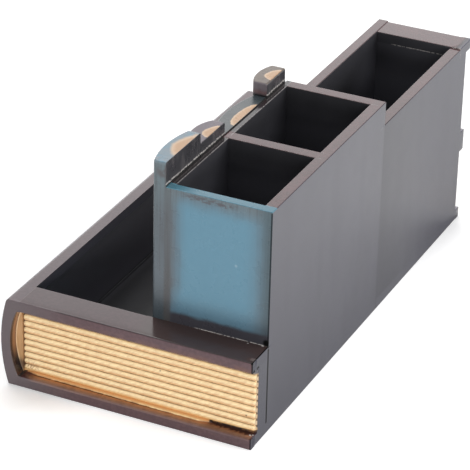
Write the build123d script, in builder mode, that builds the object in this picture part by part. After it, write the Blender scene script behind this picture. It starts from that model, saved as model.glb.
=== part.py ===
from build123d import *
from math import isclose
import os

# A desk pen holder in the shape of a stack of old books, glued up from painted boards.
# Frame: +X is the end with the gilt pages, -Y the spines, +Y the flat back, +Z up.
# The origin lies under the middle of the whole piece, on the desk.

# Boards
cover_thickness = 5.8
panel_thickness = 6.0
front_wall_thickness = 3.0
near_wall_thickness = 5.0
divider_thickness = 6.6
end_wall_thickness = 6.5
page_block_thickness = 9.2

# Heights
page_height = 35.8
upper_page_height = 47.0
books_height = 117.9
upper_rim_drop = 0.7
upper_spine_rise = 0.4

# Lengths along X
cover_overhang = 5.5
far_overhang = 6.1
cup_1_length = 55.0
cup_2_length = 60.4
cup_3_length = 103.4

# Widths along Y
cup_width = 45.0
upper_cup_step = 3.3
tray_width = 69.3
spine_rim = 7.1
spine_shell = 5.3
spine_bulge = 3.6
spine_lip = 1.5
upper_spine_rim = 5.5
upper_spine_bulge = 3.6

# Gilt page edge
rib_count = 10
rib_height = 1.5
rib_backing = 1.0
rib_foot = 0.7
rib_head = 0.6

# Spines of the four upright books, from the gilt end
book_widths = (35.6, 26.1, 47.4, 22.0)
book_side_depths = (6.5, 6.5, 6.5, 7.6)
book_bulges = (2.9, 4.3, 4.2, 2.9)
book_tops = (130.4, 124.8, 118.6, 125.4)

# Clearances and softened edges
seat_gap = 0.15
book_gap = 0.2
cover_round = 1.0
far_round = 1.6
spine_round = 2.5
book_corner_round = 1.5
book_top_round = 1.0
rim_round = 0.5

# Places along X, from the gilt end to the far end
length = (
    cover_overhang + rib_height + rib_backing + page_block_thickness + near_wall_thickness
    + cup_1_length + divider_thickness + cup_2_length + end_wall_thickness + cup_3_length
    + page_block_thickness + far_overhang
)
near_x = length / 2
rib_root_x = near_x - cover_overhang - rib_height
block_x = rib_root_x - rib_backing
books_x = block_x - page_block_thickness
divider_x = books_x - near_wall_thickness - cup_1_length
end_wall_x = divider_x - divider_thickness - cup_2_length
books_far_x = end_wall_x - end_wall_thickness
far_block_x = books_far_x - cup_3_length
far_face_x = far_block_x - page_block_thickness
far_x = far_face_x - far_overhang

# Places along Y, from the back to the spines
back_y = (spine_bulge + spine_rim + tray_width + front_wall_thickness + cup_width + panel_thickness) / 2
cups_back_y = back_y - panel_thickness
cups_front_y = cups_back_y - cup_width
front_wall_y = cups_front_y - front_wall_thickness
upper_cup_y = cups_front_y + upper_cup_step
upper_chord_y = upper_cup_y - upper_spine_rim
spine_inner_y = front_wall_y - tray_width
spine_root_y = spine_inner_y - spine_lip
page_root_y = spine_root_y + seat_gap
spine_chord_y = spine_inner_y - spine_rim
spine_hollow = spine_rim + spine_bulge - spine_shell

# Heights above the desk
page_top = cover_thickness + page_height
lower_top = page_top + cover_thickness
page_middle = lower_top / 2
upper_page_z = lower_top + cover_thickness
upper_page_top = upper_page_z + upper_page_height
upper_top = upper_page_top + cover_thickness
upper_rim = upper_top - upper_rim_drop
upper_spine_top = upper_top + upper_spine_rise

os.makedirs("parts", exist_ok=True)


# Cover boards lie flat and end flush with the back. Their free ends are softened.
def cover_board(label, x_low, x_high, y_front, z_low):
    with BuildPart() as cover:
        with BuildSketch(Plane.XZ.offset(-back_y)):
            with Locations(((x_low + x_high) / 2, z_low)):
                Rectangle(x_high - x_low, cover_thickness, align=(Align.CENTER, Align.MIN))
            for end_x, end_round in ((near_x, cover_round), (far_x, far_round)):
                free_end = [v for v in vertices() if isclose(v.X, end_x)]
                if free_end:
                    fillet(free_end, end_round)
        extrude(amount=back_y - y_front)
    cover.part.label = label
    export_step(cover.part, f"parts/{label}.step")


cover_board("bottom_cover", far_x, near_x, spine_inner_y, 0)
cover_board("near_top_cover", books_x, near_x, spine_inner_y, page_top)
cover_board("far_top_cover", far_x, far_block_x, spine_inner_y, page_top)
cover_board("upper_bottom_cover", far_x, far_block_x, upper_cup_y, lower_top)
cover_board("upper_top_cover", far_x, far_block_x, upper_cup_y, upper_page_top)


# The hollow arc inside the lower spine, moved towards the back by a clearance.
def hollow_arc(clearance):
    root_y = spine_root_y + clearance
    deepest_y = spine_inner_y - spine_hollow + clearance
    return ThreePointArc((root_y, cover_thickness), (deepest_y, page_middle), (root_y, page_top))


# The lower spine is one moulding along the front, round outside and hollow inside.
with BuildPart() as lower_spine:
    with BuildSketch(Plane.YZ.offset(far_x)):
        with BuildLine():
            hollow_arc(0)
            Polyline(
                (spine_root_y, page_top),
                (spine_inner_y, page_top),
                (spine_inner_y, lower_top),
                (spine_chord_y, lower_top),
            )
            ThreePointArc(
                (spine_chord_y, lower_top), (spine_chord_y - spine_bulge, page_middle), (spine_chord_y, 0)
            )
            Polyline(
                (spine_chord_y, 0),
                (spine_inner_y, 0),
                (spine_inner_y, cover_thickness),
                (spine_root_y, cover_thickness),
            )
        make_face()
    extrude(amount=length)
    top_rim = lower_spine.edges().filter_by(Axis.X).group_by(Axis.Z)[-1]
    fillet(top_rim.sort_by(Axis.Y)[0], spine_round)
lower_spine.part.label = "lower_spine"
export_step(lower_spine.part, "parts/lower_spine.step")


# Outline of the lower book's pages, Y across and Z up, with a round end in the hollow spine.
with BuildSketch() as page_outline:
    with BuildLine():
        hollow_arc(seat_gap)
        Polyline(
            (page_root_y, page_top),
            (back_y, page_top),
            (back_y, cover_thickness),
            (page_root_y, cover_thickness),
        )
    make_face()

# Page blocks of the lower book stand between its covers, one at each end of the tray.
for label, x_low in (("near_page_block", books_x), ("far_page_block", far_face_x)):
    with BuildPart() as page_block:
        with BuildSketch(Plane.YZ.offset(x_low)):
            add(page_outline.sketch)
        extrude(amount=page_block_thickness)
    page_block.part.label = label
    export_step(page_block.part, f"parts/{label}.step")

# The gilt page edge is a strip on the near block, reeded as far as its smooth round end.
with BuildPart() as page_ribs:
    ribs_low_z = cover_thickness + rib_foot
    ribs_high_z = page_top - rib_head
    rib_pitch = (ribs_high_z - ribs_low_z) / rib_count
    with BuildSketch(Plane.XZ.offset(-back_y)):
        with BuildLine():
            for i in range(rib_count):
                z = ribs_low_z + i * rib_pitch
                ThreePointArc(
                    (rib_root_x, z),
                    (rib_root_x + rib_height, z + rib_pitch / 2),
                    (rib_root_x, z + rib_pitch),
                )
            Polyline(
                (rib_root_x, ribs_high_z),
                (rib_root_x, page_top),
                (block_x, page_top),
                (block_x, cover_thickness),
                (rib_root_x, cover_thickness),
                (rib_root_x, ribs_low_z),
            )
        make_face()
    extrude(amount=back_y - page_root_y)
    with BuildSketch(Plane.YZ.offset(block_x)):
        with BuildLine():
            hollow_arc(seat_gap)
            Line((page_root_y, page_top), (page_root_y, cover_thickness))
        make_face()
    extrude(amount=rib_backing + rib_height)
page_ribs.part.label = "near_page_ribs"
export_step(page_ribs.part, "parts/near_page_ribs.step")


# Cross walls stand between the front wall and the back panel and part the cups.
for label, x_high, thickness in (
    ("near_wall", books_x, near_wall_thickness),
    ("cup_divider", divider_x, divider_thickness),
    ("end_wall", end_wall_x, end_wall_thickness),
):
    with BuildPart() as cross_wall:
        with BuildSketch(Plane.XZ.offset(-cups_back_y)):
            with Locations((x_high, cover_thickness)):
                Rectangle(thickness, books_height - cover_thickness, align=(Align.MAX, Align.MIN))
            fillet(vertices().group_by(Axis.Y)[-1], rim_round)
        extrude(amount=cup_width)
    cross_wall.part.label = label
    export_step(cross_wall.part, f"parts/{label}.step")


# Long walls run along X on the bottom cover, with softened rims.
for label, x_low, x_high, y_low, thickness, top in (
    ("front_wall", books_far_x, books_x, front_wall_y, front_wall_thickness, books_height),
    ("books_back_panel", books_far_x, books_x, cups_back_y, panel_thickness, books_height),
    ("upper_back_panel", far_block_x, books_far_x, cups_back_y, panel_thickness, upper_rim),
):
    with BuildPart() as long_wall:
        with BuildSketch(Plane.YZ.offset(x_low)):
            with Locations((y_low, cover_thickness)):
                Rectangle(thickness, top - cover_thickness, align=(Align.MIN, Align.MIN))
            fillet(vertices().group_by(Axis.Y)[-1], rim_round)
        extrude(amount=x_high - x_low)
    long_wall.part.label = label
    export_step(long_wall.part, f"parts/{label}.step")

# The board under the upper spine closes the third cup towards the tray.
with BuildPart() as cup_board:
    with BuildSketch(Plane.YZ.offset(far_block_x)):
        with Locations((upper_cup_y, cover_thickness)):
            Rectangle(upper_spine_rim, lower_top - cover_thickness, align=(Align.MAX, Align.MIN))
    extrude(amount=cup_3_length)
cup_board.part.label = "upper_cup_board"
export_step(cup_board.part, "parts/upper_cup_board.step")

# The upper spine is round towards the front and flat towards the third cup.
with BuildPart() as upper_spine:
    with BuildSketch(Plane.YZ.offset(far_x)):
        with BuildLine():
            ThreePointArc(
                (upper_chord_y, lower_top),
                (upper_chord_y - upper_spine_bulge, (lower_top + upper_spine_top) / 2),
                (upper_chord_y, upper_spine_top),
            )
            Polyline(
                (upper_chord_y, upper_spine_top),
                (upper_cup_y, upper_spine_top),
                (upper_cup_y, lower_top),
                (upper_chord_y, lower_top),
            )
        make_face()
    extrude(amount=books_far_x - far_x)
    fillet(upper_spine.edges().filter_by(Axis.X).group_by(Axis.Z)[-1], rim_round)
upper_spine.part.label = "upper_spine"
export_step(upper_spine.part, "parts/upper_spine.step")

# Page block of the upper book, between its two covers.
with BuildPart() as upper_page_block:
    with BuildSketch(Plane.YZ.offset(far_face_x)):
        with Locations((back_y, upper_page_z)):
            Rectangle(back_y - upper_cup_y, upper_page_height, align=(Align.MAX, Align.MIN))
    extrude(amount=page_block_thickness)
upper_page_block.part.label = "upper_page_block"
export_step(upper_page_block.part, "parts/upper_page_block.step")

# Four half-round spines stand side by side in the tray, flat against the front wall.
book_x = books_x
book_sizes = zip(book_widths, book_side_depths, book_bulges, book_tops)
for number, (width, side_depth, bulge, top) in enumerate(book_sizes, start=1):
    side_y = front_wall_y - side_depth
    with BuildPart() as book:
        with BuildSketch(Plane.XY.offset(cover_thickness)):
            with BuildLine():
                ThreePointArc((book_x - width, side_y), (book_x - width / 2, side_y - bulge), (book_x, side_y))
                Polyline(
                    (book_x, side_y),
                    (book_x, front_wall_y),
                    (book_x - width, front_wall_y),
                    (book_x - width, side_y),
                )
            make_face()
            fillet([v for v in vertices() if isclose(v.Y, side_y)], book_corner_round)
        extrude(amount=top - cover_thickness)
        top_edges = book.edges().group_by(Axis.Z)[-1].sort_by(Axis.Y)
        fillet(top_edges[:-1], book_top_round)
    book.part.label = f"book_{number}_spine"
    export_step(book.part, f"parts/book_{number}_spine.step")
    book_x = book_x - width - book_gap
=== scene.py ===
import math

import bmesh
import bpy
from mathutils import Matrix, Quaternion, Vector


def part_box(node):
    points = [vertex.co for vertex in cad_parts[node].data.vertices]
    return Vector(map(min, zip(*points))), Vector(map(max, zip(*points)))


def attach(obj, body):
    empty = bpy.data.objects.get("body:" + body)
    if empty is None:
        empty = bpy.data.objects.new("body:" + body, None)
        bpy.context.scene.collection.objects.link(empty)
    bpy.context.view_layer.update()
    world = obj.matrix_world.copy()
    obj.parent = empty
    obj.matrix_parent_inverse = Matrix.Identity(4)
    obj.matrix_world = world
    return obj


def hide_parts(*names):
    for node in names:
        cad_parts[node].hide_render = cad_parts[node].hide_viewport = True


# A desk pen holder in the shape of a stack of old books, glued up from painted boards.
# Lengths are in millimetres, in the frame's own axes, and turn to metres when a mesh is made.
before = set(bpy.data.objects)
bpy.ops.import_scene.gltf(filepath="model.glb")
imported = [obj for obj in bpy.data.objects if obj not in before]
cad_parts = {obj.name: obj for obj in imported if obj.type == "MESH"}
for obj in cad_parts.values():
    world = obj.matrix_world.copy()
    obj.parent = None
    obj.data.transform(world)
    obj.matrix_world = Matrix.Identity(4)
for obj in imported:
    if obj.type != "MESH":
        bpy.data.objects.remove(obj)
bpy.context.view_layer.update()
METRE = 1000


def node_box(node):
    low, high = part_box(node)
    return low * METRE, high * METRE


# Places, read from the boards of the frame
near_end, back_face, floor_top = node_box("bottom_cover")[1]
far_end = node_box("bottom_cover")[0].x
books_near, cup_back, books_rim = node_box("near_wall")[1]
cups_near, cup_front = node_box("near_wall")[0].xy
books_far, cups_far = [corner.x for corner in node_box("end_wall")]
wall_front = node_box("front_wall")[0].y
far_pages, far_wall = [corner.x for corner in node_box("far_page_block")]
spine_inner = node_box("near_top_cover")[0].y
lower_top = node_box("near_top_cover")[1].z
spine_deepest = node_box("near_page_block")[0].y
page_bottom, page_top = [corner.z for corner in node_box("near_page_block")]
upper_cup_front = node_box("upper_spine")[1].y
upper_page_top = node_box("upper_page_block")[1].z
upper_rim = node_box("upper_back_panel")[1].z
ribs_back, ribs_crest = [corner.x for corner in node_box("near_page_ribs")]

# Ribs of the gilt page edge, which start where their smooth round end stops
rib_count = 10
rib_backing = 1.0
rib_foot = 0.7
rib_head = 0.6
round_end = 4.0
ribs_start = round_end - 0.1
plate_end = round_end - 0.12

# Gilt bead along the foot of the ribs, which starts a little after them and breaks off
bead_reach = 1.4
bead_height = 1.0
bead_shift = 2.0
bead_end = 42.2

# Softened edges
edge_round = 0.4
worn_round = 1.0
cover_end_round = 1.0
far_end_round = 1.6
rubbed_round = 2.2


# Shapes


def boxes_beside(node):
    """Boxes of the other nodes that touch this one."""
    reach = 0.3
    low, high = node_box(node)
    found = []
    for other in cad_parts:
        other_low, other_high = node_box(other)
        meets = all(other_low[i] < high[i] + reach and other_high[i] > low[i] - reach for i in range(3))
        if other != node and meets:
            found.append((other_low, other_high))
    return found


def cut_through(shape, place, across, **options):
    """Cuts the shape along the plane at a place, square to the direction across."""
    parts = shape.verts[:] + shape.edges[:] + shape.faces[:]
    return bmesh.ops.bisect_plane(
        shape, geom=parts, dist=0.0001, plane_co=place, plane_no=across, **options
    )


def cut_at_neighbours(shape, node):
    """Splits the faces where a neighbour begins or ends, so that each edge is joined or free all along.

    The cuts on both sides of such a place keep the end of a rounded edge short.
    """
    run_out = 0.6
    at_border, at_run_out = 0.05, 2.0
    low, high = node_box(node)
    cuts = set()
    for ends in boxes_beside(node):
        for corner in ends:
            for axis in range(3):
                for shift, margin in ((0.0, at_border), (-run_out, at_run_out), (run_out, at_run_out)):
                    if low[axis] + margin < corner[axis] + shift < high[axis] - margin:
                        cuts.add((axis, round(corner[axis] + shift, 3)))
    for axis, place in sorted(cuts):
        across = Vector([float(i == axis) for i in range(3)])
        cut_through(shape, across * place, across)


def is_free(edge, neighbours):
    """True where neither face of the edge is covered by a neighbour."""
    probe = 0.2
    middle = (edge.verts[0].co + edge.verts[1].co) / 2
    for face in edge.link_faces:
        along = (edge.verts[1].co - edge.verts[0].co).normalized()
        inward = face.calc_center_median() - middle
        inward -= along * inward.dot(along)
        spot = middle + inward.normalized() * probe + face.normal * probe
        for low, high in neighbours:
            if all(low[i] < spot[i] < high[i] for i in range(3)):
                return False
    return True


def soften(shape, node, width_of):
    """Rounds each free sharp edge by the width that width_of gives for it."""
    sharp = math.radians(40)
    neighbours = boxes_beside(node)
    widths = {}
    for edge in shape.edges:
        if len(edge.link_faces) == 2 and edge.calc_face_angle() > sharp and is_free(edge, neighbours):
            middle = (edge.verts[0].co + edge.verts[1].co) / 2
            widths.setdefault(width_of(node, middle), []).append(edge)
    for width in sorted(widths, reverse=True):
        edges = [edge for edge in widths[width] if edge.is_valid]
        bmesh.ops.bevel(
            shape, geom=edges, offset=width, offset_type="OFFSET", segments=4, profile=0.5,
            affect="EDGES", clamp_overlap=True,
        )


def moulding_shape(node):
    """The node's own curved solid with its facets joined up."""
    same_place = 0.001
    same_plane = math.radians(0.5)
    shape = bmesh.new()
    shape.from_mesh(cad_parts[node].data)
    bmesh.ops.scale(shape, vec=(METRE,) * 3, verts=shape.verts)
    bmesh.ops.remove_doubles(shape, verts=shape.verts, dist=same_place)
    bmesh.ops.dissolve_limit(
        shape, angle_limit=same_plane, verts=shape.verts, edges=shape.edges,
        use_dissolve_boundaries=False,
    )
    return shape


def new_object(name, data):
    made = bpy.data.objects.new(name, data)
    bpy.context.scene.collection.objects.link(made)
    return made


def finished_piece(node, shape, finish):
    """Turns a shape in millimetres into the piece that stands for a node of the frame."""
    bmesh.ops.scale(shape, vec=(1 / METRE,) * 3, verts=shape.verts)
    name = node + "_painted"
    mesh = bpy.data.meshes.new(name)
    shape.to_mesh(mesh)
    shape.free()
    mesh.polygons.foreach_set("use_smooth", [True] * len(mesh.polygons))
    mesh.set_sharp_from_angle(angle=math.radians(35))
    mesh.materials.clear()
    mesh.materials.append(finish)
    piece = new_object(name, mesh)
    shading = piece.modifiers.new("flat_faces_stay_flat", "WEIGHTED_NORMAL")
    shading.keep_sharp = True
    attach(piece, "root")
    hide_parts(node)


def board_edge_width(node, middle):
    """Covers are softened most at their free ends, and the upper strip is rubbed round at the back."""
    if node == "upper_top_cover" and middle.y > back_face - 1.0 and middle.x < far_wall - 1.0:
        return rubbed_round
    if middle.x > near_end - cover_end_round:
        return cover_end_round
    if middle.x < far_end + far_end_round:
        return far_end_round
    return edge_round


def moulding_edge_width(node, middle):
    """Spines are softened most at their ends, less in the hollow, and the smallest book all over."""
    if node == "book_4_spine":
        return worn_round
    in_hollow = middle.y > spine_deepest - 0.5 and page_bottom - 0.1 < middle.z < page_top + 0.1
    if abs(middle.x) > near_end - cover_end_round and not in_hollow:
        return cover_end_round
    return edge_round


def make_board(node, finish):
    """A plain board with softened edges."""
    low, high = node_box(node)
    shape = bmesh.new()
    bmesh.ops.create_cube(shape, size=1.0)
    bmesh.ops.scale(shape, vec=high - low, verts=shape.verts)
    bmesh.ops.translate(shape, vec=(low + high) / 2, verts=shape.verts)
    cut_at_neighbours(shape, node)
    soften(shape, node, board_edge_width)
    finished_piece(node, shape, finish)


def make_moulding(node, finish):
    """A curved piece with softened edges."""
    shape = moulding_shape(node)
    soften(shape, node, moulding_edge_width)
    finished_piece(node, shape, finish)


# Node trees


class Nodes:
    """A node tree, and short calls that add to it."""

    def __init__(self, tree):
        self.tree = tree

    def feed(self, socket, value):
        """Links the socket to what the value stands for, or sets it."""
        if isinstance(value, Coat):
            value = value.colour
        if isinstance(value, Field):
            value = value.socket
        if isinstance(value, bpy.types.NodeSocket):
            self.tree.links.new(value, socket)
        elif socket.type == "RGBA":
            socket.default_value = (*value, 1.0)
        else:
            socket.default_value = value

    def node(self, kind, values=(), **settings):
        """Adds a node; values go to its inputs in order, or by name or number."""
        node = self.tree.nodes.new(kind)
        for name, value in settings.items():
            setattr(node, name, value)
        named = values if isinstance(values, dict) else dict(enumerate(values))
        for name, value in named.items():
            self.feed(node.inputs[name], value)
        return node

    def add(self, kind, values=(), **settings):
        """Adds a node and gives its first output."""
        return self.node(kind, values, **settings).outputs[0]

    def number(self, kind, output, values=(), **settings):
        """Adds a node and gives one of its outputs as a field."""
        return Field(self, self.node(kind, values, **settings).outputs[output])


class Field:
    """A number that changes from spot to spot."""

    def __init__(self, nodes, socket):
        self.nodes = nodes
        self.socket = socket

    def work(self, operation, other=0.0):
        return self.nodes.number("ShaderNodeMath", 0, (self, other), operation=operation)

    def __add__(self, other):
        return self.work("ADD", other)

    def __sub__(self, other):
        return self.work("SUBTRACT", other)

    def __mul__(self, other):
        return self.work("MULTIPLY", other)

    def __truediv__(self, other):
        return self.work("DIVIDE", other)

    def __pow__(self, other):
        return self.work("POWER", other)

    def most(self, *others):
        """The greatest of this number and the others."""
        field = self
        for other in others:
            field = field.work("MAXIMUM", other)
        return field

    def size(self):
        return self.work("ABSOLUTE")

    def ramp(self, start, end, first, last, course="SMOOTHSTEP"):
        """First up to start, last from end on, smooth or straight between."""
        values = (self, start, end, first, last)
        return self.nodes.number("ShaderNodeMapRange", 0, values, interpolation_type=course)

    def rises(self, start, end, place=0.0):
        """0 up to start, 1 from end on, smooth between; both are measured from the place."""
        return self.ramp(place + start, place + end, 0.0, 1.0)

    def falls(self, start, end, place=0.0):
        """1 up to start, 0 from end on, smooth between; both are measured from the place."""
        return self.ramp(place + start, place + end, 1.0, 0.0)

    def within(self, start, end, soft, place=0.0):
        """1 between start and end, with soft borders; both are measured from the place."""
        return self.rises(start - soft, start + soft, place) * self.falls(end - soft, end + soft, place)

    def fades(self, reach):
        """1 near zero, 0 from reach on."""
        return self.falls(reach * 0.4, reach)

    def beside(self, place, reach):
        """1 at the place, 0 from reach on to either side."""
        return (self - place).size().fades(reach)


# Paint work


class Coat:
    """The colour of a finish, laid on in layers from the ground up."""

    def __init__(self, finish, ground):
        self.finish = finish
        self.colour = ground

    def lay(self, share, colour):
        """Covers what is there with the colour, by the share."""
        self.colour = self.finish.blend(share, self.colour, colour)


class Finish(Nodes):
    """A painted finish: a material, and short calls that add its nodes."""

    def __init__(self, name, node):
        self.piece = node
        self.low, self.high = node_box(node)
        self.material = bpy.data.materials.new(f"{name}_{node}")
        self.material.use_nodes = True
        super().__init__(self.material.node_tree)
        self.shader = self.tree.nodes["Principled BSDF"].inputs
        spot = self.node("ShaderNodeTexCoord").outputs["Object"]
        self.spot = self.add("ShaderNodeVectorMath", (spot, (METRE,) * 3), operation="MULTIPLY")
        self.axes = [self.number("ShaderNodeSeparateXYZ", axis, (self.spot,)) for axis in "XYZ"]
        self.x, self.y, self.z = self.axes

    def noise(self, grain, detail, stretch=(1, 1, 1), turn=0.0):
        """Noise from about 0 to 1, with clouds of about grain in size, stretched and turned about X."""
        clouds = [grain / share for share in stretch]
        mapping = {"Vector": self.spot, "Rotation": (turn, 0, 0), "Scale": clouds}
        spot = self.add("ShaderNodeMapping", mapping, vector_type="TEXTURE")
        values = {"Vector": spot, "Scale": 1.0, "Detail": detail}
        return self.number("ShaderNodeTexNoise", "Fac", values)

    def waver(self, grain, detail, reach=1.0, stretch=(1, 1, 1)):
        """Noise about zero, over the given reach in all."""
        return (self.noise(grain, detail, stretch) - 0.5) * reach

    def spots(self, *spots):
        """1 at each spot, which is a place and its reach, and 0 from the reach on."""
        shares = []
        for place, reach in spots:
            ends = (self.spot, place)
            apart = self.number("ShaderNodeVectorMath", "Value", ends, operation="DISTANCE")
            shares.append(apart.fades(reach))
        return shares[0].most(*shares[1:])

    def blend(self, share, first, second):
        """The second colour over the first, by the share."""
        node = self.node("ShaderNodeMix", {0: share, 6: first, 7: second}, data_type="RGBA")
        return node.outputs[2]

    def bump(self, height, depth):
        """Raises the surface by the height field times depth, in millimetres."""
        bump = self.add("ShaderNodeBump", {"Distance": depth / METRE, "Height": height})
        self.feed(self.shader["Normal"], bump)

    def paint(self, coat, roughness, gaps_and_shade=None, shine=0.5):
        """Gives the shader the coat; the dark lines and painted shade laid over it reflect next to
        nothing.
        """
        if gaps_and_shade is not None:
            coat.lay(gaps_and_shade, gaps_and_shade_black)
            self.feed(self.shader["Specular IOR Level"], gaps_and_shade.ramp(0.0, 1.0, shine, gaps_and_shade_shine))
        self.feed(self.shader["Base Color"], coat)
        self.feed(self.shader["Roughness"], roughness)
        return self.material

    def inside(self, low, high):
        """1 within the box, on its walls and over their softened edges."""
        soft = 0.3
        parts = [
            field.within(start - soft, end + soft, soft / 3)
            for field, start, end in zip(self.axes, low, high)
        ]
        return parts[0] * parts[1] * parts[2]


def toned(colour, share):
    """The colour made darker or lighter by the share."""
    return [channel * share for channel in colour]


# Lacquer, from the tops and sides to the ends, the back and the bare ground under it, with the painted
# sheen and shade of the strips' far ends
brown = (0.086, 0.035, 0.039)
brown_dark = (0.056, 0.023, 0.026)
side_brown = (0.058, 0.046, 0.048)
strip_brown = (0.074, 0.038, 0.043)
strip_umber = (0.066, 0.043, 0.041)
rim_grey = (0.086, 0.048, 0.058)
end_grey = (0.113, 0.096, 0.102)
# The ends' browns are lighter than the tops': painted light on the near ends
end_brown = (0.110, 0.062, 0.070)
end_dark = (0.088, 0.049, 0.055)
end_smudge = (0.165, 0.080, 0.060)
end_shade = (0.055, 0.024, 0.026)
seam_grey = (0.16, 0.12, 0.12)
charcoal = (0.017, 0.016, 0.032)
charcoal_pale = (0.024, 0.023, 0.040)
painted_sheen_grey = (0.240, 0.232, 0.275)
painted_edge_shade = (0.072, 0.064, 0.082)
painted_edge_sheen = (0.150, 0.146, 0.178)
flake_dark = (0.012, 0.010, 0.010)
flake_pale = (0.30, 0.26, 0.25)
pale_ground = (0.50, 0.47, 0.45)
gaps_and_shade_black = (0.004, 0.004, 0.004)
gaps_and_shade_shine = 0.04

# Black inside the tray and the cups, with the greys and the deeper black that paint light and shade
# there
black = (0.027, 0.027, 0.032)
deep_black = (0.0, 0.0, 0.0)
tray_black = (0.085, 0.083, 0.100)
tray_grey = (0.180, 0.176, 0.200)

# Blue paint of the upright books, with its glazes and rubbed places
blue = (0.099, 0.222, 0.304)
blue_rim = (0.052, 0.165, 0.228)
teal = (0.072, 0.215, 0.285)
glaze = (0.096, 0.117, 0.135)
glaze_light = (0.115, 0.150, 0.168)
glaze_grain = (0.055, 0.055, 0.060)
back_glaze = (0.046, 0.080, 0.097)
joint_glaze = (0.056, 0.047, 0.043)
foot_glaze = (0.030, 0.029, 0.036)
left_foot_glaze = (0.034, 0.046, 0.054)
rim_patch = (0.060, 0.050, 0.056)
blue_scratch = (0.21, 0.32, 0.39)
wall_rim_black = (0.020, 0.014, 0.016)
wall_rim_grey = (0.34, 0.32, 0.32)

# The other spines, the gilt tops, the backs and the rubbed places of the books
plum = (0.097, 0.075, 0.095)
slate = (0.050, 0.060, 0.065)
umber = (0.112, 0.083, 0.064)
page_gold = (0.45, 0.265, 0.138)
page_pale = (0.58, 0.41, 0.265)
book_back_black = (0.042, 0.041, 0.046)
book_back_worn = (0.090, 0.084, 0.088)
wall_joint_black = (0.008, 0.008, 0.008)
blue_haze = (0.185, 0.210, 0.235)
blue_rubbed = (0.140, 0.178, 0.200)
blue_smudge = (0.075, 0.060, 0.062)
slate_shade = (0.010, 0.024, 0.030)
umber_blotch = (0.052, 0.036, 0.034)
umber_side = (0.118, 0.100, 0.112)
umber_side_blotch = (0.050, 0.036, 0.036)
umber_stain = (0.115, 0.060, 0.058)
umber_foot = (0.014, 0.013, 0.014)

# Antique gold of the ribs and their bead and the gilding around them, with the light, shade and
# reflections painted on and around them
gold = (1.0, 0.81, 0.48)
gold_warm = (0.64, 0.365, 0.175)
gold_bright = (1.0, 0.92, 0.66)
gold_foot = (0.82, 0.52, 0.20)
gold_groove = (0.175, 0.078, 0.024)
groove_end = (0.085, 0.042, 0.022)
orange_gold = (1.0, 0.76, 0.39)
orange_dark = (0.82, 0.48, 0.205)
orange_brown = (0.33, 0.165, 0.080)
sawn_dark = (0.10, 0.055, 0.030)
sawn_pale = (0.58, 0.43, 0.27)
sawn_head = (0.105, 0.100, 0.115)
crumb_brown = (0.34, 0.15, 0.06)
nick_brown = (0.10, 0.045, 0.02)
plate_brown = (0.46, 0.26, 0.115)
plate_gold = (0.56, 0.33, 0.16)
plate_rim = (0.74, 0.53, 0.32)
plate_tail = (0.070, 0.040, 0.030)
past_bead_dark = (0.030, 0.017, 0.017)
past_bead_brown = (0.18, 0.085, 0.036)
past_bead_floor = (0.034, 0.015, 0.017)
floor_gilt_and_reflection = (0.50, 0.225, 0.098)
floor_gilt_and_reflection_edge = (0.29, 0.165, 0.125)
bead_shadow = (0.080, 0.028, 0.008)
hollow_dark = (0.022, 0.015, 0.016)
hollow_end = (0.040, 0.024, 0.025)

# Each upright book's colour and the gilt pages on its top: the widest place, the lengths from there to
# the near and the far end, the depth, the power of the rounding, the softness of the border and the gap
# at the back
BOOKS = {
    "book_1_spine": (blue, (98.5, 10.8, 14.4, 6.3, 1.4, 0.24, 0.0)),
    "book_2_spine": (plum, (70.0, 4.7, 9.6, 4.8, 1.7, 0.10, 0.0)),
    "book_3_spine": (slate, (34.5, 11.0, 15.8, 4.6, 2.1, 0.08, 0.0)),
    "book_4_spine": (umber, (-1.8, 4.5, 8.8, 5.2, 1.8, 0.10, 0.6)),
}

# The darker and the lighter brown on the tops of the two pieces with a brown of their own
TOP_BROWNS = {
    "near_top_cover": (toned(strip_brown, 0.8), strip_brown),
    "lower_spine": (toned(rim_grey, 0.8), rim_grey),
}

# Painted light and shade inside the cups: how grey the black is at a board's top and far below it, as
# shares of plain black
CUP_PAINTED_LIGHT = {
    "front_wall": (1.15, 2.6), "cup_divider": (0.6, 3.0), "end_wall": (0.55, 2.5),
    "upper_page_block": (1.6, 3.7), "upper_spine": (0.95, 0.35), "upper_cup_board": (0.45, 0.45),
    "bottom_cover": (0.8, 0.8),
}

# Specular level of the boards that shine a little less than the others
SHINE = {"cup_divider": 0.46, "end_wall": 0.46, "upper_back_panel": 0.47}

# Stretch of the streaks that run straight down
upright = (1, 1, 0.04)


def black_inside(finish):
    """1 in the tray and the three cups, which are painted black up to the rim of each board."""
    zones = [
        ((far_wall, spine_inner - 6.2), (books_near, wall_front + 1.2), lower_top),
        ((cups_far, cup_front), (cups_near, cup_back), books_rim),
        ((far_wall, upper_cup_front), (books_far, cup_back), upper_rim),
    ]
    board_top = finish.high.z
    shares = []
    for low, high, rim in zones:
        top = board_top if abs(board_top - rim) < 2.0 else rim
        shares.append(finish.inside((*low, floor_top), (*high, top - 0.5)))
    return shares[0].most(*shares[1:])


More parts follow.
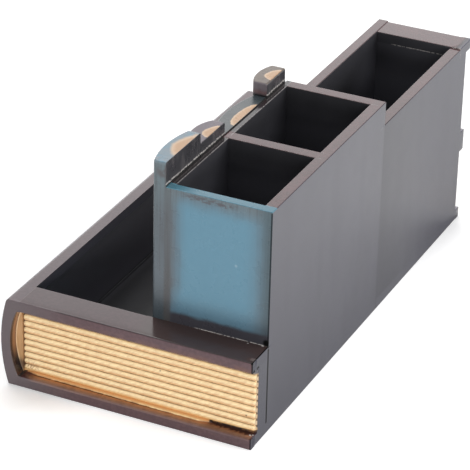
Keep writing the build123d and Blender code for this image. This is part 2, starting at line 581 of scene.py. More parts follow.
def inside_black(finish):
    """Black of the tray and cups with light and shade painted in: each board's own grey at its rim and
    low down, and paler in the tray's front corner.
    """
    x, y, z = finish.axes
    board_top = finish.high.z
    # The tray's spine wall: painted light, greyer up to the top of the pages, with a darker foot
    if finish.piece == "lower_spine":
        coat = Coat(finish, tray_black)
        coat.lay(z.rises(floor_top + 4.0, page_top), tray_grey)
        coat.lay(z.rises(-0.3, 0.3, page_top), tray_black)
        coat.lay(z.falls(0.2, 1.5, floor_top), toned(black, 2.4))
        return coat
    at_top, below = CUP_PAINTED_LIGHT.get(finish.piece, (1.0, 2.0))
    lower = z.falls(-24.0, -6.0, board_top)
    coat = Coat(finish, toned(black, at_top))
    coat.lay(lower, toned(black, below))
    # Painted light on the third cup's front wall towards its far end
    if finish.piece == "upper_spine":
        pale = finish.blend(lower, black, toned(black, 3.1))
        coat.lay(x.falls(0.0, 42.0, far_wall), pale)
    # Painted shade on the second cup's front wall
    if finish.piece == "front_wall":
        coat.lay(x.falls(45.0, 58.0) * 0.25, deep_black)
    # Painted light along the tray floor's front edge
    if finish.piece == "bottom_cover":
        coat.lay(y.falls(-57.0, -52.0), toned(black, 2.5))
    return coat


def lacquer_colour(finish):
    """Brown lacquer, greyer on the near ends, which are painted lighter than the tops for the light
    that falls on them, with a painted sheen on the strips' far ends, black inside the tray and cups,
    charcoal on the back.
    """
    x, y, z = finish.axes
    board_top = finish.high.z
    shade = (finish.noise(18.0, 3.0) * 0.4 + finish.noise(1.6, 2.0) * 0.6).rises(0.38, 0.62)
    dark, light = TOP_BROWNS.get(finish.piece, (brown_dark, brown))
    coat = Coat(finish, dark)
    coat.lay(shade, light)
    if finish.piece == "near_top_cover":
        coat.lay(y.rises(0.0, 12.0), strip_umber)
    coat.lay(z.falls(-0.5, -0.3, board_top), side_brown)
    # The near ends are painted a lighter brown than the tops: painted light for the light that falls on
    # them
    ends = Coat(finish, end_dark)
    ends.lay(shade, end_brown)
    ends.lay(y.falls(-62.0, -15.0) * 0.8, end_grey)
    coat.lay(x.rises(-0.6, -0.2, near_end), ends)
    # Painted sheen: the tops of the strips' far ends, which lie in shade, are painted pale as if they
    # caught light
    painted_sheen = x.falls(-0.6, -0.2, far_pages) * y.rises(-3.0, -1.5, back_face)
    coat.lay(painted_sheen, painted_sheen_grey)
    # The upper strip's rounded back edge: painted shade over the rounding and a pale painted sheen
    # along the very edge
    if finish.piece == "upper_top_cover":
        ragged = y + finish.waver(2.0, 2.0, 0.8)
        coat.lay(ragged.rises(-3.0, -1.6, back_face), painted_edge_shade)
        coat.lay(y.rises(-0.7, -0.3, back_face), painted_edge_sheen)
    streaks = finish.noise(5.0, 3.0, (1, 1, 0.06)).rises(0.35, 0.65)
    back = finish.blend(streaks, charcoal, charcoal_pale)
    coat.lay(y.rises(-0.3, -0.05, back_face), back)
    coat.lay(black_inside(finish), inside_black(finish))
    return coat


def lacquer_gloss(finish):
    """Glossy outside and satin inside."""
    finish.bump(finish.noise(2.2, 2.0), 0.004)
    return finish.noise(9.0, 4.0).ramp(0.3, 0.7, 0.14, 0.19) + black_inside(finish) * 0.3


def back_joints(finish):
    """Dark lines on the back where the page blocks and the upper book join, faint mottling, and painted
    shade on the upper back panel towards the upright books.
    """
    x, y, z = finish.axes
    page_joint = x.within(-0.75, 0.75, 0.25, books_near)
    page_joint = page_joint * z.within(floor_top, lower_top - 1.0, 0.3)
    book_joint = x.beside(books_far, 1.2) * 0.36
    streaks = finish.noise(1.4, 2.0, (1, 1, 0.05)).ramp(0.35, 0.65, 0.06, 0.17)
    block_end = (x + (z - lower_top) * 0.01).falls(-3.0, 2.0, far_wall) * streaks
    mottling = finish.noise(16.0, 4.0).ramp(0.4, 0.65, 0.0, 0.06)
    lines = page_joint.most(book_joint, block_end, mottling)
    # Painted shade on the upper back panel, deepening towards the upright books
    if finish.piece == "upper_back_panel":
        lines = lines.most(x.ramp(-95.0, books_far, 0.0, 0.32))
    return y.rises(-0.5, -0.2, back_face) * lines


def back_corner(finish):
    """A thin line along the corner of a board and its back."""
    return finish.y.within(-0.6, -0.1, 0.12, back_face)


def near_end_line(finish):
    """The same line on the near end alone."""
    return back_corner(finish) * finish.x.rises(-0.9, -0.6, near_end)


def chipped_line(finish, beside, reach):
    """A broken line where paint has chipped along a joint; beside is the distance from it."""
    return beside.size().falls(reach * 0.5, reach) * finish.noise(1.0, 3.0).rises(0.38, 0.56)


def brown_lacquer(node):
    """Plain lacquer, with painted shade deepening the third cup's black low down on the upper spine."""
    finish = Finish("brown_lacquer", node)
    gaps_and_shade = back_joints(finish)
    if node == "upper_spine":
        shaded = finish.x.rises(-90.0, -50.0) * finish.z.falls(82.0, 98.0)
        gaps_and_shade = gaps_and_shade.most(black_inside(finish) * shaded * 0.5)
    return finish.paint(lacquer_colour(finish), lacquer_gloss(finish), gaps_and_shade, SHINE.get(node, 0.5))


def near_strip_lacquer(node):
    """Top cover at the gilt end: a faint seam at the spine, a smudged end, chips and dark edges, one of
    them a painted shade line along its back top edge.
    """
    finish = Finish("brown_lacquer", node)
    x, y, z = finish.axes
    coat = lacquer_colour(finish)
    seam = y.falls(0.15, 0.4, spine_inner) * z.rises(-0.3, -0.1, lower_top)
    coat.lay(seam * 0.5, seam_grey)
    smudge = x.rises(-0.3, -0.1, near_end) * z.falls(1.4, 3.4, page_top)
    smudge = smudge * finish.noise(6.0, 3.0).rises(0.3, 0.6) * y.rises(-40.0, 30.0)
    coat.lay(smudge * 0.5, end_smudge)
    chips = finish.spots(
        ((books_near + 0.3, back_face - 2.7, lower_top), 0.9),
        ((books_near + 1.2, back_face - 10.0, lower_top), 0.6),
    )
    coat.lay(chips, pale_ground)
    edge = x.within(-0.75, -0.25, 0.15, near_end) * z.rises(-0.8, -0.6, lower_top)
    edge = edge * (y + finish.waver(5.0, 2.0, 30.0)).ramp(-42.0, -28.0, 0.15, 0.6)
    nicks = finish.spots(
        ((near_end - 0.4, back_face - 0.4, lower_top - 0.4), 0.9),
        ((near_end - 6.1, back_face, page_top + 0.2), 1.7),
        ((near_end - 1.9, back_face, page_top + 0.2), 1.7),
    )
    # A painted shade line along the back top edge
    top_line = back_corner(finish) * z.rises(-0.45, -0.3, lower_top)
    lines = edge.most(nicks, top_line, near_end_line(finish) * 0.8)
    return finish.paint(coat, lacquer_gloss(finish), back_joints(finish).most(lines), 0.44)


def floor_lacquer(node):
    """Bottom cover: gilt smeared in front of the ribs, with the ribs' reflection painted into it, dark
    and chipped past the bead's end.
    """
    finish = Finish("brown_lacquer", node)
    x, y, z = finish.axes
    # Gilt smeared on the strip in front of the ribs, with their orange reflection painted into it,
    # changing towards the near edge
    strip = x.rises(0.0, 1.0, books_near)
    smear_and_reflection = x.ramp(near_end - 0.7, near_end - 0.3, 1.0, 0.5) * strip
    smear_and_reflection = smear_and_reflection * y.rises(2.0, 8.0, spine_inner) * y.falls(-1.4, -0.7, back_face)
    smear_and_reflection = smear_and_reflection * z.rises(-1.1, -0.5, floor_top)
    smear_and_reflection = smear_and_reflection * finish.noise(4.0, 4.0).ramp(0.3, 0.6, 0.7, 1.0)
    smear_and_reflection = smear_and_reflection * y.ramp(bead_end - 4.0, bead_end + 2.0, 1.0, 0.5)
    gilt_sheen_and_shade = Coat(finish, floor_gilt_and_reflection)
    gilt_sheen_and_shade.lay(x.rises(ribs_crest + 1.2, near_end - 0.6), floor_gilt_and_reflection_edge)
    bead_foot = (x - (y - bead_end) * 0.0075).beside(ribs_crest + bead_reach + 0.15, 0.55)
    bead_foot = bead_foot * finish.noise(3.0, 3.0).rises(0.36, 0.52) * y.falls(0.0, 40.0)
    gilt_sheen_and_shade.lay(bead_foot * 0.9, bead_shadow)
    coat = lacquer_colour(finish)
    coat.lay(smear_and_reflection, gilt_sheen_and_shade)
    from_ribs = x - (y - bead_end) * 0.04 + finish.waver(2.0, 4.0, 5.0)
    # Dark and chipped on the strip past the bead's end
    brown_patch = from_ribs.falls(-0.2, 1.4, ribs_crest) * strip
    brown_patch = brown_patch * y.rises(-0.3, 1.0, bead_end) * y.falls(-1.0, -0.6, back_face)
    brown_patch = brown_patch * z.rises(-0.6, -0.3, floor_top)
    coat.lay(brown_patch * 0.85, past_bead_floor)
    chips = finish.spots(
        ((ribs_crest + 1.3, back_face - 2.2, floor_top), 0.7),
        ((ribs_crest + 0.6, back_face - 1.0, floor_top), 0.6),
    )
    coat.lay(chips, pale_ground)
    coat.lay(x.rises(-0.6, -0.2, near_end) * y.rises(-35.0, 0.0) * 0.2, end_shade)
    # Painted shade on the tray floor towards the upright books
    shaded = y.rises(-50.0, -33.0) * 0.5 * black_inside(finish)
    gaps_and_shade = back_joints(finish).most(near_end_line(finish) * 0.7, shaded)
    return finish.paint(coat, lacquer_gloss(finish), gaps_and_shade)


def spine_lacquer(node):
    """Lower spine: lacquer, with the gilt ribs' reflection painted in its hollow as an orange-brown
    sheen, and painted shade below it and at its end.
    """
    finish = Finish("brown_lacquer", node)
    x, y, z = finish.axes
    hollow = y.rises(-0.6, -0.3, spine_deepest) * x.within(books_near, near_end - 0.6, 0.3)
    hollow = hollow * z.within(page_bottom, page_top, 0.2)
    # Painted light in the hollow: the ribs' orange reflection on its wall, painted shade below and
    # towards the end
    gilt_sheen_and_shade = Coat(finish, hollow_dark)
    gilt_sheen_and_shade.lay(z.rises(12.0, 22.0), orange_brown)
    gilt_sheen_and_shade.lay(x.rises(-3.2, -1.4, near_end), hollow_end)
    coat = lacquer_colour(finish)
    coat.lay(hollow, gilt_sheen_and_shade)
    # Painted shade over the spine's lip along the tray floor, which hides its edge highlight
    lip = z.falls(0.3, 0.8, floor_top) * black_inside(finish)
    return finish.paint(coat, lacquer_gloss(finish), lip * 0.55)


def upper_strip_lacquer(node):
    """Top cover of the upper book: chipped and flaked at the third cup, with painted shade and less
    shine along its rounded back end.
    """
    finish = Finish("brown_lacquer", node)
    x, y, z = finish.axes
    coat = lacquer_colour(finish)
    chips = chipped_line(finish, z - upper_page_top, 0.55) * y.within(28.0, 57.0, 1.0)
    coat.lay(chips * x.rises(-0.4, -0.2, far_wall) * 0.8, pale_ground)
    lip = x.rises(-0.45, -0.25, far_wall) * y.rises(0.8, 1.2, cup_back)
    coat.lay(lip, finish.blend(finish.noise(1.3, 3.0).rises(0.42, 0.56), flake_dark, flake_pale))
    # Painted shade with less shine along the rounded back edge
    painted_shade_band = y.within(-3.0, -0.9, 0.5, back_face)
    return finish.paint(coat, lacquer_gloss(finish), painted_shade_band * 0.4)


def near_side(finish):
    """The upright books' near side: blue, greyed by a glaze at its borders and dark at the foot."""
    y, z = finish.y, finish.z
    waver = finish.waver(9.0, 3.0)
    streaks = finish.waver(1.6, 3.0, 1.0, upright)
    corner = z.falls(6.0, 24.0, lower_top)
    from_joint = y - cup_front + waver * 3.0 + streaks * 4.0 + corner * 4.0
    from_back = (y - back_face) * -1 + waver * 2.0 + streaks * 3.0
    from_rim = (z - books_rim) * -1 + waver * 5.0
    from_foot = z - lower_top + waver * 1.2 + finish.waver(3.0, 3.0, 1.6, (1, 0.3, 1))
    upper = Coat(finish, glaze)
    upper.lay(z.rises(100.0, 122.0), glaze_light)
    grain = finish.noise(0.8, 2.0, (1, 1, 0.03)).rises(0.45, 0.7)
    upper.lay(grain * 0.5, glaze_grain)
    upper.lay(from_back.falls(1.0, 9.0) * 0.75, back_glaze)
    clear = from_back.rises(0.5, 9.0) * 0.6 + from_back.rises(4.0, 15.0) * 0.4
    clear = clear * from_joint.rises(-1.5, 9.0) * from_rim.rises(-0.5, 11.0)
    upper.lay(clear, blue)
    left = y.falls(14.0, 17.0)
    right = y.rises(14.0, 17.0)
    right_foot = from_foot.rises(4.4, 7.0) * 0.55 + from_foot.rises(5.5, 18.0) * 0.45
    above_foot = from_foot.rises(0.0, 24.0) * left + right_foot * right
    coat = Coat(finish, foot_glaze)
    coat.lay(left, left_foot_glaze)
    coat.lay(above_foot, upper)
    joint = (y + streaks * 2.0).beside(wall_front + 1.0, 2.6) * z.ramp(58.0, 100.0, 0.6, 0.3)
    coat.lay(joint, joint_glaze)
    worn = z - books_rim + 2.4 + finish.waver(5.0, 2.0, 2.4)
    patch = worn.size().falls(0.8, 1.9) * finish.noise(1.3, 3.0, (1, 0.5, 1)).rises(0.44, 0.56)
    coat.lay(patch * y.within(23.0, 48.0, 4.0) * 0.75, rim_patch)
    coat.lay(finish.spots(((books_near, 49.4, 85.8), 0.9)), blue_scratch)
    chips = chipped_line(finish, z - lower_top, 0.5) * y.within(29.0, back_face - 0.5, 1.5)
    coat.lay(chips * 0.75, pale_ground)
    return coat


def blue_board(node):
    """Boards of the upright books: blue on the near side and on the rim there, lacquer elsewhere."""
    finish = Finish("blue_paint", node)
    x, y, z = finish.axes
    side = x.rises(-0.5, -0.2, books_near)
    rim = z.rises(-0.5, -0.25, books_rim)
    coat = lacquer_colour(finish)
    if node == "front_wall":
        divider_low, divider_high = node_box("cup_divider")
        brown_patch = x.within(divider_low.x - 0.6, divider_high.x + 0.6, 0.6)
        coat.lay(rim, finish.blend(brown_patch, wall_rim_black, brown))
        # A broken pale line along the inner edge of the rim, a painted highlight
        edge = y.within(-0.45, -0.1, 0.12, cup_front) * finish.noise(1.6, 3.0).rises(0.36, 0.52)
        coat.lay(rim * edge * 0.6, wall_rim_grey)
    near_rim = rim * (x - cups_near + finish.waver(2.0, 2.0, 0.8)).rises(-0.3, 0.0)
    rim_blue = finish.blend((y + finish.waver(4.0, 2.0, 6.0)).rises(15.0, 24.0), teal, blue_rim)
    coat.lay(near_rim, rim_blue)
    coat.lay(side * z.falls(-0.4, -0.15, books_rim), near_side(finish))
    back_edge = y.rises(-0.8, -0.55, back_face) * z.falls(-1.0, -0.4, books_rim)
    foot_corner = finish.spots(((books_near, back_face - 1.0, lower_top + 1.6), 2.6))
    gaps_and_shade = (back_edge * side * 0.75).most(side * foot_corner, back_joints(finish))
    satin = side.most(near_rim) * 0.12
    return finish.paint(coat, lacquer_gloss(finish) + satin, gaps_and_shade)


def gilt_pages(finish, coat, gilt):
    """The book's painted pages: a gilt half ellipse on its top, flat towards the cups."""
    y, top = finish.y, finish.high.z
    centre, near_half, far_half, depth, roundness, softness, back_gap = gilt
    waver = finish.waver(1.8, 2.0)
    from_centre = finish.x - centre
    along = (from_centre * (1 / near_half)).most(from_centre * (-1 / far_half))
    across = ((y - wall_front + back_gap) * (-1 / depth)).most(0.0)
    reach = along ** roundness + across ** roundness + waver * 0.3
    share = reach.falls(1.0 - softness, 1.0 + softness) * finish.z.rises(-0.5, -0.2, top)
    flat_side = wall_front - back_gap
    share = share * (y + waver * 0.4).falls(-0.1, 0.2, flat_side)
    coat.lay(share, finish.blend(reach.rises(0.45, 0.95), page_gold, page_pale))


def book_back(finish, coat):
    """The back of a book above the front wall: black, with a chipped line just above the wall."""
    y, z = finish.y, finish.z
    back = y.rises(-0.3, -0.1, wall_front) * z.rises(-0.6, -0.2, books_rim)
    above = z - books_rim + finish.waver(4.0, 2.0, 0.8) + finish.waver(0.9, 2.0, 0.8, (1, 1, 0.3))
    paint = Coat(finish, book_back_black)
    paint.lay(finish.noise(3.0, 3.0, (1, 1, 0.25)).rises(0.45, 0.75), book_back_worn)
    paint.lay(above.falls(0.8, 1.2), wall_joint_black)
    paint.lay(chipped_line(finish, above - 1.4, 0.6) * 0.95, pale_ground)
    coat.lay(back, paint)


def spine_paint(node):
    """Satin paint of a book's spine, darker at its sides and foot, with gilt pages on top."""
    finish = Finish("spine_paint", node)
    colour, gilt = BOOKS[node]
    x, z = finish.x, finish.z
    low, high = finish.low, finish.high
    waver = finish.waver(5.0, 3.0)
    streaks = finish.waver(1.6, 3.0, 1.0, upright)
    top = z.rises(-1.0, -0.6, high.z)
    from_side = (x - (low.x + high.x) / 2).size() * -1 + (high.x - low.x) / 2
    from_side = from_side + waver * 3.0 + streaks * 3.0
    bright = Coat(finish, toned(colour, 0.6))
    bright.lay(from_side.rises(-1.0, 6.0).most(top), colour)
    coat = Coat(finish, foot_glaze)
    coat.lay((z - floor_top + waver * 6.0 + streaks * 8.0).rises(4.0, 30.0), bright)
    if node == "book_1_spine":
        coat.lay(top * waver.rises(-0.25, 0.15) * 0.8, blue_haze)
        near = x.rises(-1.2, -0.6, high.x) * z.falls(-1.2, -0.6, high.z)
        coat.lay(near, near_side(finish))
        painted_sheen = x.rises(-1.6, -0.8, high.x) * z.within(-1.5, -0.3, 0.3, high.z)
        coat.lay(painted_sheen * 0.8, blue_rubbed)
        smudge = finish.spots(((high.x, wall_front - 1.6, high.z - 5.0), 4.5))
        coat.lay(smudge * waver.rises(-0.1, 0.05) * near * 0.7, blue_smudge)
    if node == "book_3_spine":
        coat.lay((x + waver * 6.0).falls(4.0, 17.0, low.x) * 0.7, slate_shade)
    if node == "book_4_spine":
        near = x.rises(-0.6, -0.3, high.x)
        blotches = finish.noise(2.6, 4.0).rises(0.52, 0.68) * 0.5
        coat.lay(blotches, umber_blotch)
        coat.lay(near, umber_side)
        coat.lay(near * blotches, umber_side_blotch)
        coat.lay(near * (z + waver * 4.0).within(119.0, 121.5, 1.2) * 0.7, umber_stain)
        coat.lay(near * (z + waver).falls(118.2, 120.2), umber_foot)
    gilt_pages(finish, coat, gilt)
    book_back(finish, coat)
    finish.bump(finish.noise(2.2, 2.0), 0.010)
    return finish.paint(coat, finish.noise(9.0, 4.0).ramp(0.3, 0.7, 0.24, 0.34))


def end_plate(finish, waver):
    """Paint of the ribs' smooth round end: brushed gilt with a paler rim and a dark tail."""
    coat = Coat(finish, plate_brown)
    coat.lay(finish.noise(1.2, 3.0, (1, 1, 0.1)).rises(0.35, 0.65), plate_gold)
    half_height = (page_top - page_bottom) / 2
    radius = (half_height ** 2 + ribs_start ** 2) / (2 * ribs_start)
    across = (finish.y - spine_deepest - radius).size() ** 2
    from_axis = (across + (finish.z - page_bottom - half_height).size() ** 2) ** 0.5
    coat.lay((from_axis + waver * 0.4).rises(-0.8, -0.5, radius) * 0.8, plate_rim)
    coat.lay((finish.z - page_bottom + waver * 4.0).falls(5.0, 9.0) * 0.8, plate_tail)
    return coat


def gilt_paint(node):
    """Antique gold of the ribs and bead with painted light and shade on them, brown in the grooves,
    dark where the bead is missing.
    """
    finish = Finish("gilt_paint", node)
    x, y, z = finish.axes
    root = ribs_back + rib_backing
    waver = finish.waver(4.0, 3.0)
    strokes = finish.noise(0.9, 2.0, (1, 0.16, 1), math.radians(35))
    pitch = (page_top - page_bottom - rib_foot - rib_head) / rib_count
    phase = ((z - page_bottom - rib_foot) * (1 / pitch) + waver * 0.12).work("FRACT")
    coat = Coat(finish, gold_groove)
    # Painted shade: the grooves darken where the ribs end at the spine
    coat.lay(y.falls(-0.9, 0.2, spine_inner), groove_end)
    # Painted light: each rib's upper flank is paler gold and its lower flank warmer and darker, as if
    # lit from above
    upper = phase.rises(0.22, 0.92) + (strokes.rises(0.35, 0.65) - 0.5) * 0.3
    raised = (x - root + waver * 0.5 + y.rises(-1.8, -1.0, back_face)).rises(0.05, 0.8)
    coat.lay(raised, finish.blend(upper, gold_warm, gold))
    # The top rib is painted brighter, painted light against the shade of the cover above it
    head = z.rises(page_top - rib_head - pitch, page_top - rib_head - pitch * 0.5)
    coat.lay(head * raised * y.ramp(-60.0, -20.0, 0.1, 0.6), gold_bright)
    sawn = y.rises(-0.9, -0.5, back_face)
    rib_middle = (phase - 0.5).size().falls(0.2, 0.5)
    coat.lay(sawn, finish.blend(rib_middle, sawn_dark, sawn_pale))
    coat.lay(head * y.rises(-2.8, -2.0, back_face), sawn_head)
    coat.lay(sawn * x.falls(-0.3, -0.1, root), charcoal)
    crumbs = y.falls(2.0, 10.0, spine_inner) * z.falls(3.0, 9.0, page_bottom)
    coat.lay(crumbs * finish.noise(1.0, 3.0).rises(0.47, 0.58) * 0.75, crumb_brown)
    coat.lay(y.falls(-1.36, -1.30, spine_inner), end_plate(finish, waver))
    foot = z - page_bottom + waver * 0.5
    ribbed = y.rises(-1.5, -1.2, spine_inner)
    coat.lay(foot.falls(1.2, 3.4) * ribbed * 0.6, gold_foot)
    # Painted light on the bead: a painted highlight on its outer lip, a darker orange next to the ribs
    # and painted shade at its foot
    orange = Coat(finish, orange_dark)
    orange.lay((x - ribs_crest + waver * 0.8).rises(0.3, 1.3), orange_gold)
    orange.lay(foot.falls(0.0, 0.5), orange_brown)
    bead = foot.falls(0.0, 0.5, bead_height) * ribbed * y.falls(0.1, 0.4, bead_end)
    coat.lay(bead, orange)
    # Dark and blotchy under the lowest rib past the bead's end
    gap = (foot - (y - bead_end) * 0.03).falls(1.0, 1.6) * y.rises(0.1, 0.6, bead_end)
    coat.lay(gap, finish.blend(finish.noise(2.2, 3.0).rises(0.42, 0.6), past_bead_dark, past_bead_brown))
    nicks = finish.spots(((ribs_crest, 16.6, 26.9), 0.9), ((ribs_crest, 62.0, 15.0), 0.7))
    coat.lay(nicks * 0.8, nick_brown)
    finish.bump(strokes * 0.7 + finish.noise(1.4, 3.0) * 0.3, 0.10)
    return finish.paint(coat, 0.40)


def page_paint(node):
    """Page blocks: gilt with fine page lines on the page side, lacquer elsewhere."""
    finish = Finish("page_paint", node)
    pages = finish.low.x
    page_side = finish.x.falls(0.1, 0.3, pages) * finish.y.falls(-0.4, -0.2, back_face)
    lines = finish.noise(0.5, 2.0, (1, 0.02, 1)).rises(0.3, 0.6)
    coat = lacquer_colour(finish)
    coat.lay(page_side, finish.blend(lines, gold_warm, gold))
    return finish.paint(coat, lacquer_gloss(finish) + page_side * 0.2, back_joints(finish))


# Ribs of the gilt page edge


class Tree(Nodes):
    """A Geometry Nodes tree with named sizes in millimetres."""

    def __init__(self, name, sizes):
        super().__init__(bpy.data.node_groups.new(name, "GeometryNodeTree"))
        self.sizes = sizes
        for size in sizes:
            self.tree.interface.new_socket(size, in_out="INPUT", socket_type="NodeSocketFloat")
        self.tree.interface.new_socket("Geometry", in_out="OUTPUT", socket_type="NodeSocketGeometry")
        sockets = self.node("NodeGroupInput").outputs
        self.given = {size: Field(self, sockets[size]) for size in sizes}

    def vector(self, x=0.0, y=0.0, z=0.0):
        return self.add("ShaderNodeCombineXYZ", (x, y, z))

    def move(self, part, place):
        return self.add("GeometryNodeTransform", {"Geometry": part, "Translation": place})

    def join(self, *parts):
        node = self.node("GeometryNodeJoinGeometry")
        for part in parts:
            self.feed(node.inputs[0], part)
        return node.outputs[0]

    def mesh(self, name):
        """The finished tree as a plain mesh."""
        host = new_object(name, bpy.data.meshes.new(name))
        modifier = host.modifiers.new(name, "NODES")
        modifier.node_group = self.tree
        for item in self.tree.interface.items_tree:
            if item.in_out == "INPUT":
                modifier[item.identifier] = float(self.sizes[item.name])
        made = host.evaluated_get(bpy.context.evaluated_depsgraph_get())
        mesh = bpy.data.meshes.new_from_object(made)
        bpy.data.objects.remove(host)
        return mesh


def rod(tree, length, reach, half_width, sweep, start_share, end_share, taper, unevenness):
    """A rod along Y with a round side towards +X, a little uneven.

    It grows along its length from start_share to full size, and narrows to end_share at both ends.
    """
    line = tree.add("GeometryNodeCurvePrimitiveLine", {"End": tree.vector(y=length)})
    path = tree.add("GeometryNodeResampleCurve", {"Curve": line, "Count": 260})
    arc = tree.add(
        "GeometryNodeCurveArc",
        {
            "Resolution": 11, "Radius": 1.0, "Start Angle": math.pi / -2, "Sweep Angle": sweep,
            "Connect Center": True,
        },
        mode="RADIUS",
    )
    outline = tree.vector(reach, half_width, 1.0)
    profile = tree.add("GeometryNodeTransform", {"Geometry": arc, "Scale": outline})
    along = tree.number("GeometryNodeSplineParameter", "Length")
    from_end = along.work("MINIMUM", length - along)
    clouds = {"Vector": tree.vector(y=along), "Scale": 0.25, "Detail": 2.0}
    uneven = (tree.number("ShaderNodeTexNoise", 0, clouds) - 0.5) * unevenness
    size = from_end.ramp(0.0, taper, end_share, 1.0) + uneven
    size = size * along.ramp(0.0, length, start_share, 1.0)
    return tree.add(
        "GeometryNodeCurveToMesh",
        {"Curve": path, "Profile Curve": profile, "Scale": size, "Fill Caps": True},
    )


def gilt_strip(finish):
    """Half-round ribs side by side on a thin backing, with a gilt bead along their foot."""
    low, high = node_box("near_page_ribs")
    start = low.y + ribs_start
    swell = high.x - low.x - rib_backing
    tree = Tree(
        "gilt_strip",
        {
            "Ribs": rib_count, "Swell": swell, "Backing": rib_backing, "Back": low.x, "Start": start,
            "Length": high.y - start, "Bottom": low.z, "Height": high.z - low.z, "Foot": rib_foot,
            "Head": rib_head, "Bead Reach": bead_reach + swell, "Bead Height": bead_height,
            "Bead Length": bead_end - start, "Sunk": 0.3, "Waver": 0.16, "Short": 0.005, "Seed": 5.0,
        },
    )
    given = tree.given
    root = given["Back"] + given["Backing"]
    pitch = (given["Height"] - given["Foot"] - given["Head"]) / given["Ribs"]
    rib = rod(
        tree, given["Length"], given["Swell"] + given["Sunk"], pitch / 2.0, sweep=math.pi,
        start_share=1.0, end_share=0.5, taper=1.0, unevenness=0.05,
    )
    first_z = given["Bottom"] + given["Foot"] + pitch / 2.0
    first_place = tree.vector(root - given["Sunk"], given["Start"], first_z)
    places = tree.add(
        "GeometryNodeMeshLine",
        {"Count": given["Ribs"], "Offset": tree.vector(z=pitch), "Start Location": first_place},
    )
    chance = {2: given["Short"] * -1 + 1.0, 3: 1.0, "Seed": given["Seed"]}
    share = tree.number("FunctionNodeRandomValue", "Value", chance, data_type="FLOAT")
    ribs = tree.add(
        "GeometryNodeInstanceOnPoints",
        {"Points": places, "Instance": rib, "Scale": tree.vector(1.0, share, 1.0)},
    )
    ribs = tree.add("GeometryNodeRealizeInstances", {"Geometry": ribs})
    bead = rod(
        tree, given["Bead Length"], given["Bead Reach"], given["Bead Height"], sweep=math.pi / 2,
        start_share=0.7, end_share=0.4, taper=7.0, unevenness=0.3,
    )
    bead = tree.move(bead, tree.vector(root, given["Start"] + bead_shift, given["Bottom"]))
    here = tree.add("GeometryNodeInputPosition")
    spread = tree.node("ShaderNodeTexNoise", {"Vector": here, "Scale": 0.12, "Detail": 3.0})
    half_way = (0.5, 0.5, 0.5)
    shift = tree.add("ShaderNodeVectorMath", (spread.outputs["Color"], half_way), operation="SUBTRACT")
    amount = tree.vector(given["Waver"], 0.0, given["Waver"])
    shift = tree.add("ShaderNodeVectorMath", (shift, amount), operation="MULTIPLY")
    ribs = tree.add("GeometryNodeSetPosition", {"Geometry": ribs, "Offset": shift})
    size = [given[name] for name in ("Backing", "Length", "Height")]
    corner = [given[name] for name in ("Back", "Start", "Bottom")]
    backing = tree.add("GeometryNodeMeshCube", {"Size": tree.vector(*size)})
    middle = [start + side / 2.0 for start, side in zip(corner, size)]
    backing = tree.move(backing, tree.vector(*middle))
    strip = tree.add("GeometryNodeRealizeInstances", {"Geometry": tree.join(ribs, bead, backing)})
    strip = tree.add("GeometryNodeSetMaterial", {"Geometry": strip, "Material": finish})
    tree.node("NodeGroupOutput", {"Geometry": strip})
    return tree.mesh("gilt_strip")


def make_gilt_strip(node, finish):
    """The reeded strip with its smooth round end, which sits in the hollow of the spine."""
    shape = moulding_shape(node)
    plate_face = (0, node_box(node)[0].y + plate_end, 0)
    cut = cut_through(shape, plate_face, (0, 1, 0), clear_outer=True)
    border = [part for part in cut["geom_cut"] if isinstance(part, bmesh.types.BMEdge)]
    bmesh.ops.edgeloop_fill(shape, edges=border)
    soften(shape, node, moulding_edge_width)
    shape.from_mesh(gilt_strip(finish))
    bmesh.ops.recalc_face_normals(shape, faces=shape.faces)
    finished_piece(node, shape, finish)


# Pieces

PIECES = (
    (make_board, brown_lacquer, ("far_top_cover", "upper_bottom_cover", "cup_divider", "end_wall")),
    (make_board, brown_lacquer, ("upper_back_panel", "upper_cup_board")),
    (make_board, floor_lacquer, ("bottom_cover",)),
    (make_board, near_strip_lacquer, ("near_top_cover",)),
    (make_board, upper_strip_lacquer, ("upper_top_cover",)),
    (make_board, blue_board, ("near_wall", "front_wall", "books_back_panel")),
    (make_moulding, spine_lacquer, ("lower_spine",)),
    (make_moulding, brown_lacquer, ("upper_spine", "near_page_block")),
    (make_moulding, page_paint, ("far_page_block",)),
    (make_board, page_paint, ("upper_page_block",)),
    (make_gilt_strip, gilt_paint, ("near_page_ribs",)),
    (make_moulding, spine_paint, tuple(BOOKS)),
)
for make, paint, nodes in PIECES:
    for node in nodes:
        make(node, paint(node))


# Studio, in metres


def seen_rays(nodes):
    """1 for rays that show the surroundings: camera, glossy and transmission rays."""
    kinds = ("Is Camera Ray", "Is Glossy Ray", "Is Transmission Ray")
    rays = [nodes.number("ShaderNodeLightPath", kind) for kind in kinds]
    return rays[0].most(*rays[1:])


def floor_glow(nodes):
    """Glow that brings the floor near to white.

    It grows outwards from the object's back, is less on the spines' side and more for the camera.
    """
    place = nodes.node("ShaderNodeTexCoord").outputs["Object"]
    outwards = (1.0, 2.29, 0.0)
    y = nodes.number("ShaderNodeSeparateXYZ", "Y", (place,))
    slant = nodes.number("ShaderNodeVectorMath", "Value", (place, outwards), operation="DOT_PRODUCT")
    glow = y.ramp(0.07, 0.09, 0.22, 0.36, "LINEAR") + y.ramp(0.09, 0.15, 0.0, 0.11, "LINEAR")
    glow = glow + slant.ramp(0.038, 0.103, -0.27, 0.0, "LINEAR")
    glow = glow + nodes.number("ShaderNodeLightPath", "Is Camera Ray") * 0.36
    return seen_rays(nodes) * glow


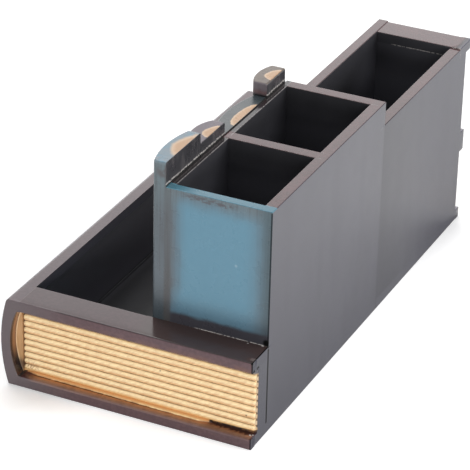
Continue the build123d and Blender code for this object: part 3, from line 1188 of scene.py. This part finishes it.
def plain_floor():
    """A pale floor that keeps the object's shadow and runs out into the white surroundings."""
    reach = 4.0
    corners = [(-reach, -reach, 0.0), (reach, -reach, 0.0), (reach, reach, 0.0), (-reach, reach, 0.0)]
    mesh = bpy.data.meshes.new("floor")
    mesh.from_pydata(corners, [], [(0, 1, 2, 3)])
    floor = new_object("floor", mesh)
    material = bpy.data.materials.new("pale_floor")
    material.use_nodes = True
    nodes = Nodes(material.node_tree)
    nodes.tree.nodes.clear()
    matte = nodes.add("ShaderNodeBsdfDiffuse", {"Color": (0.82, 0.82, 0.82)})
    glow = nodes.add("ShaderNodeEmission", {"Strength": floor_glow(nodes)})
    both = nodes.add("ShaderNodeAddShader", (matte, glow))
    nodes.node("ShaderNodeOutputMaterial", {"Surface": both})
    mesh.materials.append(material)


def white_surroundings(fill):
    """White all round, and fill as the light that it sheds."""
    world = bpy.data.worlds.new("studio")
    bpy.context.scene.world = world
    world.use_nodes = True
    nodes = Nodes(world.node_tree)
    background = nodes.tree.nodes["Background"].inputs
    nodes.feed(background["Color"], (1, 1, 1))
    nodes.feed(background["Strength"], seen_rays(nodes).ramp(0.0, 1.0, fill, 1.0, "LINEAR"))


def softbox(name, place, size, radiance):
    """A square soft light of the given size and brightness, turned to the object."""
    aim = Vector((0, 0, 0.05))
    light = bpy.data.lights.new(name, "AREA")
    light.shape = "SQUARE"
    light.size = size
    light.energy = radiance * math.pi * size ** 2
    lamp = new_object(name, light)
    lamp.location = place
    lamp.rotation_mode = "QUATERNION"
    lamp.rotation_quaternion = (aim - Vector(place)).to_track_quat("-Z", "Y")
    lamp.visible_camera = False


def photo_camera():
    """Stands where the photograph was taken from; bearing, rise and tilt are in degrees."""
    place = Vector((1.05731, 0.48505, 0.65405))
    bearing, rise, tilt = [math.radians(angle) for angle in (114.916, 28.054, 1.417)]
    level = math.cos(rise)
    back = Vector((math.sin(bearing) * level, -math.cos(bearing) * level, math.sin(rise)))
    data = bpy.data.cameras.new("photo_camera")
    data.sensor_width = 36.0
    data.lens = 196.82
    data.clip_end = 20.0
    camera = new_object("photo_camera", data)
    camera.location = place
    camera.rotation_mode = "QUATERNION"
    camera.rotation_quaternion = (-back).to_track_quat("-Z", "Y") @ Quaternion((0, 0, 1), tilt)
    bpy.context.scene.camera = camera


plain_floor()
white_surroundings(0.45)
softbox("back_light", (-1.4, -0.65, 0.45), 1.1, 1.1)
softbox("key_light", (-0.6, 1.6, 0.65), 1.2, 4.9)
softbox("front_light", (1.85, 0.55, 0.30), 0.55, 19.0)
softbox("top_light", (-0.55, -0.75, 1.75), 1.2, 4.2)
photo_camera()
bpy.context.scene.view_settings.view_transform = "Standard"
